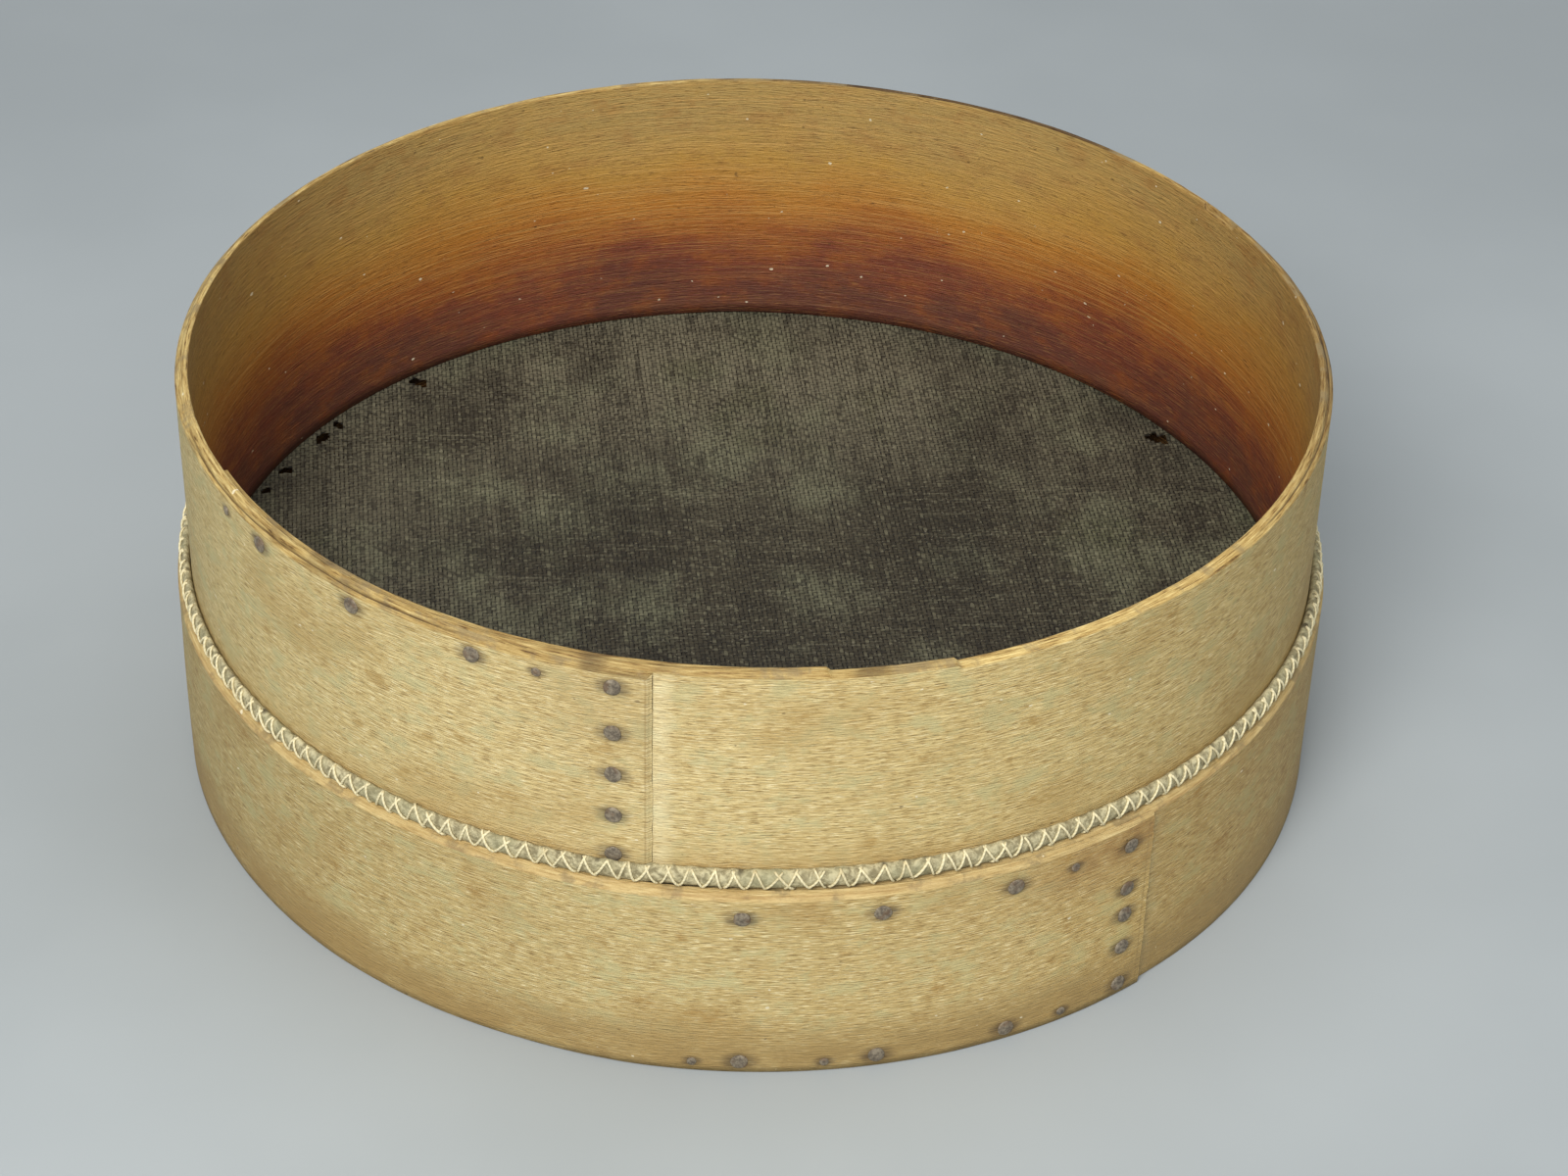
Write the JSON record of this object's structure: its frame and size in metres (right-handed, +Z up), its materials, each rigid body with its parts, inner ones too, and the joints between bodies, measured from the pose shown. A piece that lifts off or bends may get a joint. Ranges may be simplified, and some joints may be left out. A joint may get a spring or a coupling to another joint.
{
  "type": "hair sieve",
  "caption": "Round bentwood sieve: a lapped upper hoop and a lower hoop grip a stretched woven hair cloth, whose rolled hem is sewn with zigzag thread; clout nails hold the laps.",
  "frame": {"origin": "on the ground at the common axis of the two hoops, at the bottom centre of the sieve", "axes": "+Z up along the hoops' axis; -Y towards the side with the nailed laps; +X to the right seen from that side"},
  "size_m": [0.4102, 0.4123, 0.155],
  "materials": {
    "upper_wood": "bare aged wood, straw coloured outside, ochre to red brown inside",
    "lower_wood": "bare aged wood, handled and dirty at the foot",
    "hair_cloth": "dull twill of dark horsehair",
    "cane": "raw cane",
    "hem_cloth": "felted grey green cloth",
    "thread": "waxed linen thread",
    "iron": "rusted black wrought iron"
  },
  "bodies": {
    "root": {"upper_hoop": "upper_wood", "lower_hoop": "lower_wood", "sieve_cloth": "hair_cloth", "cloth_upturn": "hair_cloth", "hem_core": "cane", "hem_roll": "hem_cloth", "hem_stitching": "thread", "upper_lap_nails": "iron", "upper_rim_nails": "iron", "upper_rim_tacks": "iron", "lower_lap_nails": "iron", "ledge_nails": "iron", "ledge_tacks": "iron", "foot_nails": "iron", "foot_tacks": "iron"}
  },
  "joints": []
}
